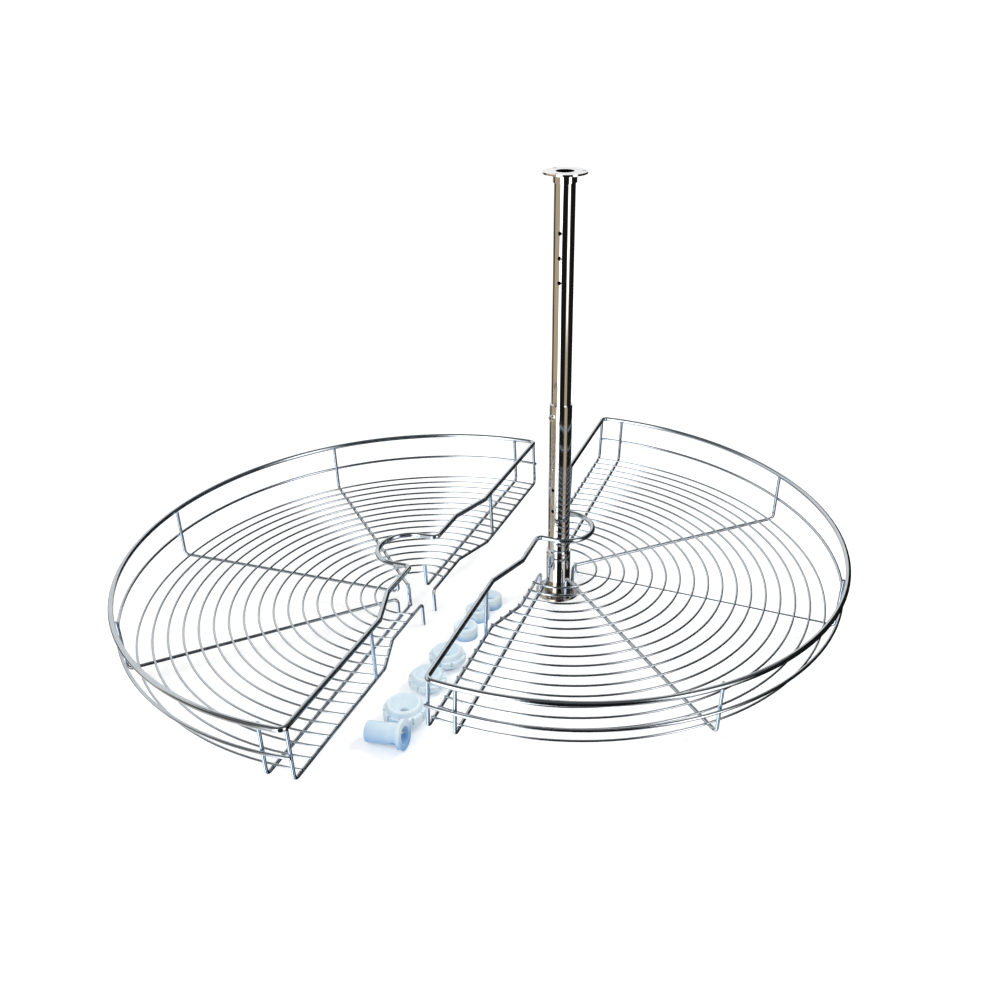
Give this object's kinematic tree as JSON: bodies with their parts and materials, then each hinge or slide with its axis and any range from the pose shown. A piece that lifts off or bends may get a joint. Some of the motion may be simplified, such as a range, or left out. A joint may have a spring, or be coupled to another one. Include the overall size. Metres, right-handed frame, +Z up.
{
  "type": "half-moon corner carousel",
  "caption": "Half-moon wire baskets for a corner cupboard with a telescopic post: one basket turns about the post, its twin and the plastic hub pieces lie beside it.",
  "frame": {"origin": "post axis on the ground, at the bottom flange's underside", "axes": "+Z up along the post; the picture's camera looks along +Y and +X is to its right"},
  "size_m": [1.0352, 0.848, 0.616],
  "materials": {
    "chrome": "polished",
    "plastic": "satin"
  },
  "bodies": {
    "base": {"base_flange": "chrome", "lower_tube": "chrome", "height_screw": "chrome", "left_rim_arc": "chrome", "left_rim_front": "chrome", "left_mid_rail": "chrome", "left_floor_rings": "chrome", "left_radial_a": "chrome", "left_radial_b": "chrome", "left_radial_c": "chrome", "left_inner_rail_a": "chrome", "left_inner_rail_b": "chrome", "left_outer_rail_a": "chrome", "left_outer_rail_b": "chrome", "left_uprights": "chrome", "flanged_bush": "plastic", "large_hub": "plastic", "hub_cups": "plastic", "hub_caps": "plastic"},
    "upper_post": {"upper_tube": "chrome", "top_flange": "chrome"},
    "collar": {"collar": "chrome"},
    "right_basket": {"right_rim_arc": "chrome", "right_rim_front": "chrome", "right_mid_rail": "chrome", "right_floor_rings": "chrome", "right_radial_a": "chrome", "right_radial_b": "chrome", "right_radial_c": "chrome", "right_inner_rail_a": "chrome", "right_inner_rail_b": "chrome", "right_outer_rail_a": "chrome", "right_outer_rail_b": "chrome", "right_uprights": "chrome"}
  },
  "joints": [
    {"name": "post_height", "type": "slide", "parent": "base", "child": "upper_post", "axis": [0, 0, 1], "range_m": [-0.15, 0.07]},
    {"name": "collar_height", "type": "slide", "parent": "base", "child": "collar", "axis": [0, 0, 1], "range_m": [0, 0.2]},
    {"name": "basket_turn", "type": "hinge", "parent": "collar", "child": "right_basket", "pos_m": [0, 0, 0.04], "axis": [0, 0, 1], "range_deg": [-12, 12]}
  ]
}
